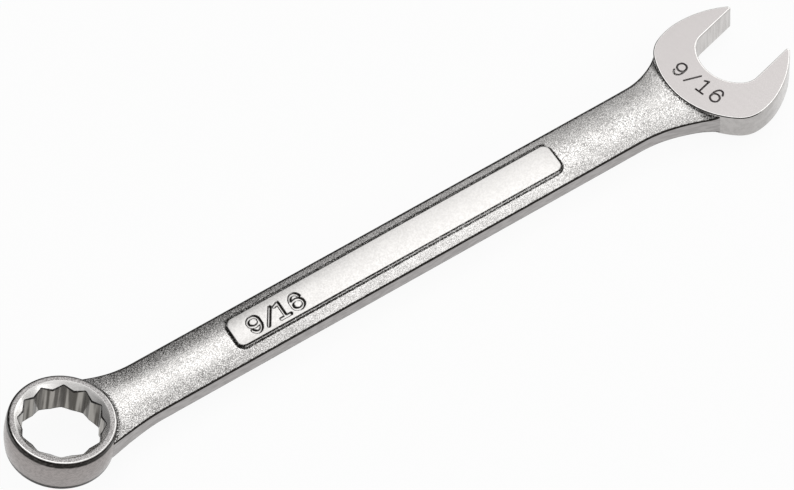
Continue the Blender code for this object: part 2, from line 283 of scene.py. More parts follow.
def piece(name, points, faces, finishes, painted_shade, crease=32.0):
    """A mesh piece from points in millimetres and groups of (faces, finish number), facing outwards.
    The array after the finishes says how much painted shade each point gets, darkening it where shade falls:
    1 covers at least the dark grains of the finish, and more covers the light ones too."""
    points = (points + ORIGIN) * MM
    corners = [group.reshape(-1, group.shape[-1]) for group, _ in faces]
    triangles = np.concatenate([np.concatenate([c[:, (0, k, k + 1)] for k in range(1, c.shape[1] - 1)])
                                for c in corners])
    volume = np.einsum("ij,ij->i", points[triangles[:, 0]],
                       np.cross(points[triangles[:, 1]], points[triangles[:, 2]])).sum()
    if volume < 0:
        corners = [c[:, ::-1] for c in corners]
    mesh = bpy.data.meshes.new(name)
    mesh.from_pydata(points, [], [face for c in corners for face in c.tolist()])
    for finish in finishes:
        mesh.materials.append(finish)
    numbers = [np.broadcast_to(number, group.shape[:-1]).reshape(-1) for group, number in faces]
    mesh.polygons.foreach_set("material_index", np.concatenate(numbers).astype(np.int32))
    shade_paint = mesh.attributes.new("painted_shade", "FLOAT", "POINT")
    shade_paint.data.foreach_set("value", painted_shade.reshape(-1).astype(np.float32))
    mesh.shade_smooth()
    mesh.set_sharp_from_angle(angle=math.radians(crease))
    obj = bpy.data.objects.new(name, mesh)
    bpy.context.collection.objects.link(obj)
    return obj


def stroke_distance(u, v, points):
    """Distance from each place (u, v) to a line through these points: the nearest of its segments."""
    points = np.asarray(points, float)
    nearest = np.full(u.shape, np.inf)
    for (ax, ay), (bx, by) in zip(points, points[1:]):
        dx, dy = bx - ax, by - ay
        share = np.clip(((u - ax) * dx + (v - ay) * dy) / (dx * dx + dy * dy), 0, 1)
        nearest = np.minimum(nearest, np.hypot(u - ax - share * dx, v - ay - share * dy))
    return nearest


def oval(x, y, wide, tall, start, end, count=28):
    """Points of an elliptical arc between two angles in degrees."""
    angle = np.radians(np.linspace(start, end, count))
    return np.stack((x + wide * np.cos(angle), y + tall * np.sin(angle)), axis=-1)


def sunk_numbers(u, v, numbers):
    """Share of the depth of a struck 9/16 at places (u along, v up): 1 in a stroke, easing out up its sides.
    The strokes are drawn for a height of 1, and the six is the nine turned round."""
    tall = numbers["height"]
    nine = [oval(0, 0.69, 0.33, 0.31, 0, 360), oval(0, 0.5, 0.33, 0.5, 22, -150)]
    one = [np.array(stroke) for stroke in (((0, 0), (0, 1), (-0.27, 0.88)), ((-0.3, 0), (0.3, 0)))]
    foot, top = np.array(numbers["bar"]) / tall
    strokes = [stroke + (numbers["nine"] / tall, 0) for stroke in nine]
    strokes += [np.array(((foot, 0), (top, 1)))]
    strokes += [stroke + (numbers["one"] / tall, 0) for stroke in one]
    strokes += [(0, 1) - stroke + (numbers["six"] / tall, 0) for stroke in nine]
    nearest = np.min([stroke_distance(u, v, stroke * tall) for stroke in strokes], axis=0)
    return rise(nearest, numbers["half_stroke"] + numbers["slope"], numbers["half_stroke"])


def right_sides(u, v, sunk, numbers):
    """Positive on the right sides of the strokes: the sunk share less that of the numbers moved left."""
    along, up = numbers["shift"]
    return sunk - sunk_numbers(u + along, v + up, numbers)


def box_flare(overlap):
    """Where the arc that widens the bar into the ring starts, and where it meets the ring this deep."""
    ring = RING_RADIUS - overlap
    offset = BAR_HALF_WIDTH + BOX_FLARE_RADIUS
    reach = math.sqrt((ring + BOX_FLARE_RADIUS) ** 2 - offset**2)
    return reach, reach * ring / (ring + BOX_FLARE_RADIUS)


def open_flare(side):
    """Where the arc that widens the bar into the head starts on one side, its radius and its widest reach."""
    radius, angle = FAR_FLARE if side > 0 else NEAR_FLARE
    head = HEAD_RADIUS - NECK_OVERLAP
    width = head * math.sin(angle) - side * HEAD_OFFSET
    sweep = math.acos(1 - (width - BAR_HALF_WIDTH) / radius)
    start = CENTRE_DISTANCE - head * math.cos(angle) - radius * math.sin(sweep)
    return start, radius, width


# The shank's node lies between these two planes, and its box gives the ring's centre in the frame
BAR_START = box_flare(NECK_OVERLAP)[0] + BOX_PLANE_PAST_FLARE
BAR_END = min(open_flare(1)[0], open_flare(-1)[0]) - OPEN_PLANE_BEFORE_FLARE
SHANK_LOW, SHANK_HIGH = (np.array(corner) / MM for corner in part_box("shank"))
ORIGIN = np.array((SHANK_LOW[0] - BAR_START, *(SHANK_LOW + SHANK_HIGH)[1:] / 2))


def bar_width(x, side):
    """Half width of the bar at x on one side: straight, with a circular flare at each end."""
    reach, meeting = box_flare(RING_OVERLAP)
    run = np.clip(reach - x, 0, reach - meeting)
    box = BOX_FLARE_RADIUS - np.sqrt(BOX_FLARE_RADIUS**2 - run**2)
    start, radius, width = open_flare(side)
    run = np.clip(x - start, 0, radius)
    open_end = np.minimum(radius - np.sqrt(radius**2 - run**2), width - BAR_HALF_WIDTH)
    return BAR_HALF_WIDTH + box + open_end


def bar_level(x):
    """Height of the bar's middle: level, then bending up through a parabola into the tilted ring."""
    bend = RING_RISE / math.tan(RING_TILT)
    run = np.clip(bend + NECK_BEND - x, 0, None)
    bent = np.where(run < 2 * NECK_BEND, run**2 / (4 * NECK_BEND), run - NECK_BEND)
    return bent * math.tan(RING_TILT)


def fillet(distance, step, radius):
    """Height of a hollow quarter-round at a distance from a wall that is this much taller."""
    near = np.clip(1 - distance / radius, 0, 1)
    return step * (1 - np.sqrt(1 - near * near))


def ring_foot(x, y, height, side):
    """Distance from the ring's wall, and how much taller the ring is than the neck there."""
    level = bar_level(x)
    axis = (level + side * height - RING_RISE) * math.tan(RING_TILT)
    away = np.hypot((x - axis) * math.cos(RING_TILT), y) - (RING_RADIUS - RING_BARREL)
    top = RING_HALF_HEIGHT / math.cos(RING_TILT) + side * (RING_RISE - x * math.tan(RING_TILT) - level)
    return away, np.maximum(top - RING_ROUND - height, 0) * (x < BAR_START)


def head_foot(x, y, height):
    """Distance from the head's back wall, and how much taller the head is than the neck there."""
    away = np.hypot(x - BACK_X, y - BACK_Y) - BACK_RADIUS
    return away, np.maximum(HEAD_HALF_HEIGHT - HEAD_ROUND - height, 0) * (x > BAR_END)


def panel_distance(x, y):
    """Signed distance to the panel's rounded rectangle, negative inside it."""
    along = np.abs(x - PANEL_MIDDLE) - (PANEL_HALF_LENGTH - PANEL_CORNER)
    across = np.abs(y) - (PANEL_HALF_WIDTH - PANEL_CORNER)
    outside = np.hypot(np.maximum(along, 0), np.maximum(across, 0))
    return outside + np.minimum(np.maximum(along, across), 0) - PANEL_CORNER


def bar_face(x, y, height, side):
    """Height of a face over the bar's middle: the crown, rounded up into the ring, the head and the panel."""
    radius = NECK_FILLET if side > 0 else HEEL_FILLET
    at_ring = rise(np.abs(y), *HEEL_FADE) * fillet(*ring_foot(x, y, height, side), radius)
    at_head = fillet(*head_foot(x, y, height), radius)
    height = height + at_ring + at_head
    outside = panel_distance(x, y)
    crown = PANEL_TOP - PANEL_CROWN * (y / PANEL_HALF_WIDTH) ** 2
    plateau = smooth_min(crown, crown - outside / math.tan(PANEL_DRAFT), PANEL_ROUND)
    return np.where(outside < PANEL_REACH, smooth_max(height, plateau, PANEL_FILLET), height)


def panel_painted_shade(x, y):
    """Painted shade round the raised panel, where its walls and feet are in shade: a line at each end, a
    broad one along the far side from the ridge to past the foot, and thin ones along the near side's ridge
    and foot, stronger towards the ring."""
    outside = panel_distance(x, y)
    past_end = np.abs(x - PANEL_MIDDLE) - PANEL_HALF_LENGTH
    far_foot = line(outside, *FAR_FOOT_LINE) * rise(past_end, *FAR_FOOT_STOP)
    far_side = np.where(outside < FAR_RIDGE_END, rise(outside, *FAR_RIDGE), far_foot)
    near_lines = np.maximum(line(outside, *NEAR_RIDGE_LINE), line(outside, *NEAR_FOOT_LINE))
    near_side = (NEAR_LEAST + slope(x, *NEAR_MORE)) * near_lines
    at_end = rise(past_end, *PANEL_END_ALONG) * rise(y, *PANEL_END_ACROSS)
    along_side = np.where(y > 0, far_side, near_side)
    return at_end * line(outside, *PANEL_END_LINE) + (1 - at_end) * along_side


def bar_painted_shade(x, y, height, side):
    """Painted shade on a face: at the feet of panel, ring and head, on the strip beyond the panel, and a
    thinner veil of painted shade towards the sides of the box end's neck and over the open end's neck."""
    to_ring, ring_step = ring_foot(x, y, height, side)
    to_head = head_foot(x, y, height)[0]
    at_ring = slope(to_ring, *RING_FOOT_SHADE) * (ring_step > 0)
    at_corner = slope(to_head, *HEAD_CORNER_SHADE) * rise(y, *HEAD_CORNER_ACROSS)
    at_head = np.maximum(slope(to_head, *HEAD_FOOT_SHADE), at_corner) * (x > BAR_END)
    far_strip = (FAR_STRIP_MOST - slope(x, *FAR_STRIP_LOSS)) * rise(y, *FAR_STRIP_ACROSS)
    box_neck = np.where(y > 0, slope(y, *BOX_NECK_FAR) * rise(x, *BOX_NECK_FAR_ALONG),
                        slope(-y, *BOX_NECK_NEAR) * rise(x, *BOX_NECK_NEAR_ALONG))
    return np.maximum.reduce((panel_painted_shade(x, y), at_ring, at_head, far_strip, box_neck, slope(x, *OPEN_NECK)))


def bar_stations():
    """Places of the bar's cross-sections along its middle line, as one column."""
    outer, inner = PANEL_END_STRETCH
    panel_start = PANEL_MIDDLE - PANEL_HALF_LENGTH
    panel_end = PANEL_MIDDLE + PANEL_HALF_LENGTH
    places = joined(RING_RADIUS - BURIED_IN_RING, (RING_RADIUS + FOOT_STRETCH, 28), (BAR_START, 22),
                    (panel_start - outer, 14), (panel_start + inner, 28), (NUMBERS_END, 118),
                    (panel_end - inner, 26), (panel_end + outer, 28), (BAR_END, 8),
                    (HEAD_WALL - FOOT_STRETCH, 22), (HEAD_WALL + PAST_HEAD_WALL, 22),
                    (HEAD_WALL + BURIED_IN_HEAD, 4))
    return places[:, None]


def bar(finishes):
    """The shank with both necks as one closed tube: cross-sections carried along x, bowed to fit ring and
    head. The finishes are those of the faces, the panels' tops and the side walls."""
    face_finish, panel_finish, wall_finish = range(3)
    edge_steps = 6
    wall_rows = 4
    x = bar_stations()
    inner = BAR_HALF_WIDTH - BAR_ROUND
    foot, outer = PANEL_SIDE_STRETCH
    low, high = NUMBERS_STRETCH
    edge = joined(foot, (outer, 20), (inner, 10)) / inner
    fine = joined(-foot, (low, 6), (high, 38), (foot, 9))[1:-1] / inner
    turn = np.radians(np.linspace(0, 90, edge_steps + 1)[1:])

    ring_blend = np.clip((BAR_START - x) / (BAR_START - RING_RADIUS - BOW_MARGIN), 0, 1)
    head_blend = np.clip((x - BAR_END) / (HEAD_WALL - BOW_MARGIN - BAR_END), 0, 1)

    def bow(y):
        """How far a cross-section is drawn along x at y, to lie along the ring or the head's back."""
        ring_bow = np.sqrt(np.maximum(x**2 - y**2, 0)) - x
        head_bow = BACK_X - HEAD_WALL - np.sqrt(BACK_RADIUS**2 - (y - BACK_Y) ** 2)
        return ring_blend * ring_bow + head_blend * head_bow

    near = bar_width(x + bow(-bar_width(x, -1)), -1)
    far = bar_width(x + bow(bar_width(x, 1)), 1)
    middle, half = (far - near) / 2, (far + near) / 2
    reach = box_flare(RING_OVERLAP)[0]
    ring_share = np.clip((reach - x) / (reach - RING_RADIUS), 0, 1)
    head_share = np.clip((x - BAR_END) / (HEAD_WALL + THICK_PAST_WALL - BAR_END), 0, 1)
    edge_half = BAR_EDGE_HALF + BOX_THICKENING * ring_share**2 + OPEN_THICKENING * head_share**2

    def face(side):
        """Points and painted shade of the upper (1) or lower (-1) face, from its far edge to its near one."""
        ends = np.ones(edge_steps)
        share = np.concatenate((ends, edge[::-1], fine[::-1], -edge, -ends))
        over = np.concatenate((np.sin(turn[::-1]), np.zeros(len(share) - 2 * edge_steps), -np.sin(turn)))
        drop = BAR_ROUND * (1 - np.sqrt(1 - over**2))
        y = middle + (half - BAR_ROUND) * share + BAR_ROUND * over
        crown = BAR_CROWN - (edge_half - BAR_EDGE_HALF) / 2
        height = edge_half + crown * (1 - ((y - middle) / half) ** 2)
        along = x + bow(y) + ring_blend * side * height * math.tan(RING_TILT)
        # Painted shade on the faces, with painted dark lines along the far edge and round the rounded edges
        from_far_edge = middle + half - BAR_ROUND - y
        on_face = np.maximum(bar_painted_shade(along, y, height, side), slope(from_far_edge, *BAR_FAR_EDGE))
        painted_shade = np.where(over == 0, on_face, line(np.abs(over), *BAR_EDGE_LINE))
        height = bar_face(along, y, height, side)
        if side > 0:
            u, v = along - PANEL_NUMBERS_AT[0], y - PANEL_NUMBERS_AT[1]
            sunk = sunk_numbers(u, v, PANEL_NUMBERS)
            height = height - PANEL_NUMBERS["depth"] * sunk
            # Painted shade in the sunk numbers: darkest on the strokes' right sides, where their shadow
            # falls, and on their slopes
            in_number = np.maximum(PANEL_NUMBER_SIDE * right_sides(u, v, sunk, PANEL_NUMBERS),
                                   PANEL_NUMBER_SLOPE * sunk * (1 - sunk))
            painted_shade = np.maximum(painted_shade, np.minimum(in_number, PANEL_NUMBER_MOST))
        return np.stack((along, y, bar_level(along) + side * (height - drop), painted_shade), axis=-1)

    def wall(start, end):
        """Rows of a side wall between the edges of two faces."""
        share = np.linspace(0, 1, wall_rows + 2)[1:-1, None]
        return start[:, None] * (1 - share) + end[:, None] * share

    top = face(1)
    bottom = face(-1)[:, ::-1]
    near_wall = wall(top[:, -1], bottom[:, 0])
    far_wall = wall(bottom[:, -1], top[:, 0])
    points = np.concatenate((top, near_wall, bottom, far_wall), axis=1)
    rows, columns = points.shape[:2]
    across = top.shape[1]
    sides = quads(rows, columns, wrap_columns=True)
    points, painted_shade = points[..., :3].reshape(-1, 3), points[..., 3].reshape(-1)

    # The walls' finish also takes the outer half of each rounded edge
    column = np.arange(columns)
    trimmed = edge_steps // 2
    on_near_wall = (column >= across - 1 - trimmed) & (column < across + wall_rows + trimmed)
    on_far_wall = (column >= columns - wall_rows - 1 - trimmed) | (column < trimmed)
    number = np.where(on_near_wall | on_far_wall, wall_finish, face_finish)
    centre = points[sides].mean(axis=2)
    on_panel = panel_distance(centre[..., 0], centre[..., 1]) < PANEL_TOP_EDGE
    number = np.where(on_panel, panel_finish, number)

    # Each buried end is closed by a strip of quads between the two faces, and by one face beside each wall
    k = np.arange(1, across - 2)
    opposite = 2 * across + wall_rows - 1 - k
    strip = np.stack((k, k + 1, opposite - 1, opposite), axis=-1)
    near_end = np.arange(across - 2, across + wall_rows + 2)[None]
    far_end = np.append(np.arange(2 * across + wall_rows - 2, columns), (0, 1))[None]
    last = (rows - 1) * columns
    caps = [(group, face_finish) for loop in (strip, near_end, far_end)
            for group in (loop[:, ::-1], loop + last)]
    return piece("shank_and_necks", points, [(sides, number)] + caps, finishes, painted_shade)


def ring(finishes):
    """The box end: a profile r(turn, height) carried round the socket's axis, its inner wall a twelve-point
    star. The finishes are those of the outer wall, faces, bore, lead-in cones and buffed edges with a painted
    highlight."""
    wall_finish, face_finish, bore_finish, lead_finish, edge_finish = range(5)
    buffed_highlight_rows = 3
    steps_per_point = 25
    blunt = math.asin(POINT_FLAT / 2 * math.cos(POINT_SPACING) / SOCKET_HALF)
    step = np.linspace(blunt, POINT_SPACING - blunt, steps_per_point)
    turn = (POINT_SPACING * np.arange(SOCKET_POINTS)[:, None] + step).reshape(-1)
    from_point = np.minimum(turn % POINT_SPACING, POINT_SPACING - turn % POINT_SPACING)
    star = SOCKET_HALF / np.cos(POINT_SPACING - from_point)
    mouth = np.full_like(star, star.max() + LEAD_IN_WIDTH)

    # The upper half of the profile, from the middle of the outer wall over the face to the middle of the bore
    shoulder = RING_HALF_HEIGHT - RING_ROUND
    rim = RING_RADIUS - RING_BARREL
    lift = np.array(RING_WALL_LIFTS)[:, None]
    bend = np.radians(np.linspace(0, 90, 9))[1:, None]
    wall_r = np.concatenate((RING_RADIUS - RING_BARREL * lift**2, rim - RING_ROUND * (1 - np.cos(bend))))
    wall_z = np.concatenate((shoulder * lift, shoulder + RING_ROUND * np.sin(bend)))
    face_start = rim - RING_ROUND
    face_r = face_start + (mouth + LEAD_IN_ROUND - face_start) * np.linspace(0, 1, 5)[1:, None]
    lip = np.radians(np.linspace(0, 45, 4))[1:, None]
    lip_r = mouth + LEAD_IN_ROUND * (1 - np.sin(lip) / np.sin(lip[-1]))
    lip_z = RING_HALF_HEIGHT - LEAD_IN_ROUND * (1 - np.cos(lip))
    share = np.array(LEAD_IN_SHARES)[:, None]
    lead_r = mouth + (star - mouth) * share
    lead_z = lip_z[-1] - (mouth - star) / math.tan(LEAD_IN_SLOPE) * share
    bore_z = lead_z[-1] * np.array(BORE_SHARES)[:, None]
    bore_r = np.tile(star, (len(bore_z), 1))
    even = np.ones_like(turn)
    face_z = np.full_like(face_r, RING_HALF_HEIGHT)
    upper_r = np.concatenate((wall_r * even, face_r, lip_r, lead_r, bore_r))
    upper_z = np.concatenate((wall_z * even, face_z, lip_z * even, lead_z, bore_z))

    r = np.concatenate((upper_r, upper_r[-2:0:-1]))
    z = np.concatenate((upper_z, -upper_z[-2:0:-1]))
    x = r * np.cos(turn)
    points = np.stack((x * math.cos(RING_TILT) + z * math.sin(RING_TILT), r * np.sin(turn),
                       z * math.cos(RING_TILT) - x * math.sin(RING_TILT) + RING_RISE), axis=-1)

    face_row = len(wall_r)
    lip_row = face_row + len(face_r)
    star_row = lip_row + len(lip_r) + len(lead_r) - 1
    zones = np.full(len(upper_r) - 1, wall_finish)
    zones[face_row - 1 - buffed_highlight_rows:] = edge_finish
    zones[face_row - 1:] = face_finish
    zones[lip_row:] = lead_finish
    zones[star_row:] = bore_finish
    zones = np.concatenate((zones, zones[::-1]))
    sides = quads(len(r), len(turn), wrap_rows=True, wrap_columns=True)
    number = np.broadcast_to(zones[:, None], sides.shape[:2])

    # Painted shade: under the shoulder, over the rim as far as rim_end, in the points and along the star's
    # edge
    rim_end = RIM_LINE_LEAST + slope(np.sin(turn), *RIM_LINE_MORE)
    painted_shade = np.zeros_like(upper_r)
    painted_shade[:len(lift)] = np.array(RING_WALL_SHADE)[:, None]
    painted_shade[len(lift):face_row] = rise(bend, rim_end, rim_end - RIM_LINE_FADE)
    painted_shade[star_row - 1:] = slope(from_point, *RING_POINT_SHADE)
    painted_shade[star_row - 1:star_row + 2] = 1.0
    painted_shade = np.concatenate((painted_shade, painted_shade[-2:0:-1]))
    return piece("ring", points.reshape(-1, 3), [(sides, number)], finishes, painted_shade, crease=20.0)


def arc(centre, radius, start, end, step=0.25):
    """Points of a circular arc about this far apart, both ends included."""
    angle = np.linspace(start, end, max(3, math.ceil(abs(end - start) * radius / step) + 1))
    return np.stack((centre[0] + radius * np.cos(angle), centre[1] + radius * np.sin(angle)), axis=-1)


def head_outline():
    """The open end seen square on, in the jaws' axes: throat, jaw flat, jaw side, disc, corner and back arcs,
    then the same mirrored. Also gives which points bound the jaw gap."""
    throat_x = THROAT_RADIUS - THROAT_DEPTH
    round_y = JAW_HALF - THROAT_CORNER
    round_x = throat_x - math.sqrt((THROAT_RADIUS - THROAT_CORNER) ** 2 - round_y**2)
    throat_end = math.atan2(round_y, round_x - throat_x)
    throat = np.concatenate((arc((throat_x, 0), THROAT_RADIUS, math.pi, throat_end),
                             arc((round_x, round_y), THROAT_CORNER, throat_end, math.pi / 2)[1:]))
    tip_y = JAW_HALF + JAW_TIP_WIDTH
    reach = math.sqrt((HEAD_RADIUS + JAW_PROJECTION) ** 2 - tip_y**2)
    tip = np.array((reach, tip_y))
    flat_x = np.linspace(throat[-1, 0], reach - JAW_NOSE, 12)[1:]
    flat = np.stack((flat_x, np.full_like(flat_x, JAW_HALF)), axis=-1)
    nose = arc((reach - JAW_NOSE, JAW_HALF + JAW_NOSE), JAW_NOSE, -math.pi / 2, 0, step=0.1)[1:]

    spare = JAW_SIDE_RADIUS - HEAD_RADIUS
    along = (2 * JAW_SIDE_RADIUS * HEAD_RADIUS - HEAD_RADIUS**2 - tip @ tip) / (2 * spare)
    tangent = math.atan2(tip[1], tip[0]) + math.acos(along / math.hypot(*tip))
    centre = -spare * np.array((math.cos(tangent), math.sin(tangent)))
    jaw_side = arc(centre, JAW_SIDE_RADIUS, math.atan2(*(tip - centre)[::-1]), tangent)

    disc_inside = HEAD_RADIUS - HEAD_CORNER
    back_inside = BACK_RADIUS - HEAD_CORNER
    corner_x = (disc_inside**2 - back_inside**2 + BACK_CENTRE**2) / (2 * BACK_CENTRE)
    corner_y = math.sqrt(disc_inside**2 - corner_x**2)
    turn_in, turn_out = math.atan2(corner_y, corner_x), math.atan2(corner_y, corner_x - BACK_CENTRE)
    outside = [jaw_side, arc((0, 0), HEAD_RADIUS, tangent, turn_in)[1:],
               arc((corner_x, corner_y), HEAD_CORNER, turn_in, turn_out)[1:],
               arc((BACK_CENTRE, 0), BACK_RADIUS, turn_out, math.pi)[1:]]
    gap = len(throat) + len(flat)
    far = np.concatenate([throat, flat, nose] + outside)
    near = far[-2:0:-1] * (1, -1)
    in_gap = np.zeros(len(far) + len(near), bool)
    in_gap[:gap] = True
    in_gap[-gap + 1:] = True
    return np.concatenate((far, near)), in_gap


def inset(outline, amount, least_share=0.6):
    """The outline moved inwards: each point along the mean normal of its two edges, further where they turn,
    but no further than least_share allows."""
    before = outline - np.roll(outline, 1, axis=0)
    before /= np.linalg.norm(before, axis=1, keepdims=True)
    after = np.roll(before, -1, axis=0)
    normal = np.stack((-(before + after)[:, 1], (before + after)[:, 0]), axis=-1)
    normal /= np.linalg.norm(normal, axis=1, keepdims=True)
    share = np.abs(normal[:, 0] * before[:, 1] - normal[:, 1] * before[:, 0])
    return outline + normal * (amount / np.maximum(share, least_share))[:, None]


def head(finishes):
    """The open end: its outline carried over a rounded edge, flat faces, and numbers sunk in a fine patch.
    The finishes are those of the faces, the outer wall, the jaw gap and the buffed edges with a painted
    highlight."""
    face_finish, wall_finish, gap_finish, edge_finish = range(4)
    buffed_highlight_rows = 3
    line_row, wall_row = 2, 6
    outline, in_gap = head_outline()
    bend = np.radians(np.linspace(90, 0, 7))
    shoulder = HEAD_HALF_HEIGHT - HEAD_ROUND
    edge_in = np.append(HEAD_ROUND + HEAD_RIM, HEAD_ROUND * (1 - np.cos(bend)))
    edge_z = np.append(HEAD_HALF_HEIGHT, shoulder + HEAD_ROUND * np.sin(bend))
    wall_z = shoulder * np.array((0.5, 0.0, -0.5))
    inward = np.concatenate((edge_in, np.zeros_like(wall_z), edge_in[::-1]))
    height = np.concatenate((edge_z, wall_z, -edge_z[::-1]))
    points = np.concatenate([np.column_stack((inset(outline, amount), np.full(len(outline), z)))
                             for amount, z in zip(inward, height)])
    rows, count = len(height), len(outline)
    walls = quads(rows, count, wrap_columns=True)
    row = np.arange(rows - 1)[:, None]
    buffed = (row < buffed_highlight_rows) | (row >= rows - 1 - buffed_highlight_rows)
    number = np.where(buffed, edge_finish, np.where(in_gap, gap_finish, wall_finish))

    margin = DIGIT_HALF_WIDTH + NUMBERS_MARGIN
    u, v = np.meshgrid(np.arange(-margin, HEAD_NUMBERS["six"] + margin, NUMBERS_PITCH),
                       np.arange(-NUMBERS_MARGIN, HEAD_NUMBERS["height"] + NUMBERS_MARGIN, NUMBERS_PITCH))
    sunk = sunk_numbers(u, v, HEAD_NUMBERS)
    patch = np.stack((HEAD_NUMBERS_AT[0] + v, HEAD_NUMBERS_AT[1] - u,
                      HEAD_HALF_HEIGHT - HEAD_NUMBERS["depth"] * sunk), axis=-1)
    index = np.arange(u.size).reshape(u.shape) + len(points)
    numbers = quads(*u.shape) + len(points)
    border = np.concatenate((index[0, :-1], index[:-1, -1], index[-1, :0:-1], index[:0:-1, 0]))
    points = np.concatenate((points, patch.reshape(-1, 3)))

    def filled(*loops):
        """Triangles of the flat region inside the first loop and outside the others."""
        shape = [(points[loop] * (1, 1, 0)).tolist() for loop in loops]
        return np.concatenate(loops)[np.array(tessellate_polygon(shape))]

    upper = facing(points, filled(np.arange(count), border), 1)
    lower = facing(points, filled(np.arange(count) + (rows - 1) * count), -1)
    numbers = facing(points, numbers.reshape(-1, 4), 1)
    walls = walls if facing_out(points, walls, outline) else walls[..., ::-1]
    turn = np.array(((math.cos(JAW_ANGLE), math.sin(JAW_ANGLE)),
                     (-math.sin(JAW_ANGLE), math.cos(JAW_ANGLE))))
    points[:, :2] = points[:, :2] @ turn + (CENTRE_DISTANCE, -HEAD_OFFSET)

    # Painted shade: along both rounded edges round the back, a veil on the wall beside the neck, and the
    # numbers, darkest on their strokes' right sides
    shade_paint = np.zeros((rows, count))
    on_edge = slope(-outline[:, 0], *HEAD_BACK_EDGE)
    shade_paint[line_row:wall_row] = on_edge
    shade_paint[-wall_row:-line_row] = on_edge
    shade_paint[wall_row:-wall_row] = slope(-outline[:, 0], *HEAD_BACK_WALL) * ~in_gap
    struck = HEAD_NUMBER_FLOOR * sunk + HEAD_NUMBER_SIDE * right_sides(u, v, sunk, HEAD_NUMBERS)
    painted_shade = np.append(shade_paint, np.clip(struck, 0, 1))
    faces = [(walls, number), (upper, face_finish), (lower, face_finish), (numbers, face_finish)]
    return piece("open_head", points, faces, finishes, painted_shade, crease=30.0)


def facing(points, faces, side):
    """Flat faces turned so that all of them look up (side 1) or down (side -1)."""
    a, b, c = (points[faces[:, k]] for k in range(3))
    up = np.cross(b - a, c - a)[:, 2] * side > 0
    return np.where(up[:, None], faces, faces[:, ::-1])


def facing_out(points, walls, outline):
    """Whether the wall quads look away from the plate: their normal against the outline's inward side."""
    quad = walls[walls.shape[0] // 2, 0]
    a, b, c = points[quad[:3]]
    normal = np.cross(b - a, c - a)[:2]
    inward = inset(outline, HEAD_ROUND)[0] - outline[0]
    return normal @ inward < 0


def add(tree, kind, inputs=None, **settings):
    """Adds one node: settings are its own options, inputs are values or the sockets that feed it."""
    node = tree.nodes.new(kind)
    for key, value in settings.items():
        setattr(node, key, value)
    for key, value in (inputs or {}).items():
        if isinstance(value, bpy.types.NodeSocket):
            tree.links.new(value, node.inputs[key])
        else:
            node.inputs[key].default_value = value
    return node


def chrome(name, light, dark, roughness, grain, depth, stretch=(1, 1, 1), turn=(0, 0, 0), patch=4.0,
           rough_span=0.06, shade_on_light_grains=0.9):
    """Plated steel between two tones, its roughness higher by rough_span in the dark tone and lower in the
    light one. grain is the size in millimetres of its texture, drawn out by stretch along turned axes, and
    depth its relief in millimetres; patch is the size of the slow changes of tone. Of the painted shade, the
    texture's light grains keep the share given last and its dark grains 2 minus that share: a low share
    makes it speckled."""
    finish = bpy.data.materials.new(name)
    finish.use_nodes = True
    tree = finish.node_tree
    shader = tree.nodes["Principled BSDF"]
    shader.inputs["Metallic"].default_value = 1.0
    place = add(tree, "ShaderNodeTexCoord").outputs["Object"]
    drawn = add(tree, "ShaderNodeMapping", {"Vector": place, "Rotation": turn, "Scale": stretch},
                vector_type="TEXTURE").outputs["Vector"]
    fine = add(tree, "ShaderNodeTexNoise", {"Vector": drawn, "Scale": 1 / (grain * MM), "Detail": 1.0})
    fine = fine.outputs["Fac"]
    slow = add(tree, "ShaderNodeTexNoise", {"Vector": place, "Scale": 1 / (patch * MM), "Detail": 2.0})
    both = add(tree, "ShaderNodeMix", {"Factor": SLOW_SHARE, "A": fine, "B": slow.outputs["Fac"]})
    both = both.outputs["Result"]
    tone = add(tree, "ShaderNodeValToRGB", {"Fac": both})
    for element, position, colour in zip(tone.color_ramp.elements, TONE_SPAN, (dark, light)):
        element.position = position
        element.color = linear(colour)
    # Painted shade: the points' shade attribute darkens the tone towards the painted shade colour, speckled
    # by the grain
    painted_shade = add(tree, "ShaderNodeAttribute", attribute_name="painted_shade").outputs["Fac"]
    grains = {"From Min": GRAIN_SPAN[0], "From Max": GRAIN_SPAN[1]}
    shade_by_grain = add(tree, "ShaderNodeMapRange", {"Value": fine, **grains, "To Min": 2.0 - shade_on_light_grains, "To Max": shade_on_light_grains})
    kept = add(tree, "ShaderNodeMath", {0: painted_shade, 1: shade_by_grain.outputs["Result"]}, operation="MULTIPLY",
               use_clamp=True)
    shaded_tone = add(tree, "ShaderNodeMix", {"Factor": kept.outputs[0], 6: tone.outputs["Color"],
                                        7: linear(PAINTED_SHADE_COLOUR)}, data_type="RGBA")
    rough = add(tree, "ShaderNodeMapRange", {"Value": both, **grains, "To Min": roughness + rough_span,
                                             "To Max": roughness - rough_span})
    relief = add(tree, "ShaderNodeBump", {"Height": fine, "Strength": 1.0, "Distance": depth * MM})
    tree.links.new(shaded_tone.outputs[2], shader.inputs["Base Color"])
    tree.links.new(rough.outputs["Result"], shader.inputs["Roughness"])
    tree.links.new(relief.outputs["Normal"], shader.inputs["Normal"])
    return finish


# Bead-blasted chrome: a grainy, matt sheen. The beads' pits of about 0.1 mm are drawn at 0.17 mm, to show
blasted = chrome("bead_blasted_chrome", "#f8f6f4", "#b0aeac", 0.35, 0.17, 0.018, patch=3.0, shade_on_light_grains=0.15)
# Buffed panel top: smoother than the shank round it, with only a trace of the blasting
panel_top = chrome("buffed_chrome", "#d5d3d1", "#cfcdcb", 0.32, 0.3, 0.002, rough_span=0.03)
# Trimmed forging edges, plated: plain grey and even
trimmed_edge = chrome("trimmed_chrome", "#aeabaa", "#a09d9c", 0.32, 0.5, 0.002, stretch=(4, 4, 1),
                      rough_span=0.03)
# Ground and plated faces of the head: fine straight lines along the grinding direction
ground = chrome("ground_chrome", "#b1adac", "#b0acab", 0.26, 0.5, 0.0001, stretch=(1, 10, 1),
                turn=(0, 0, JAW_ANGLE), rough_span=0.004)
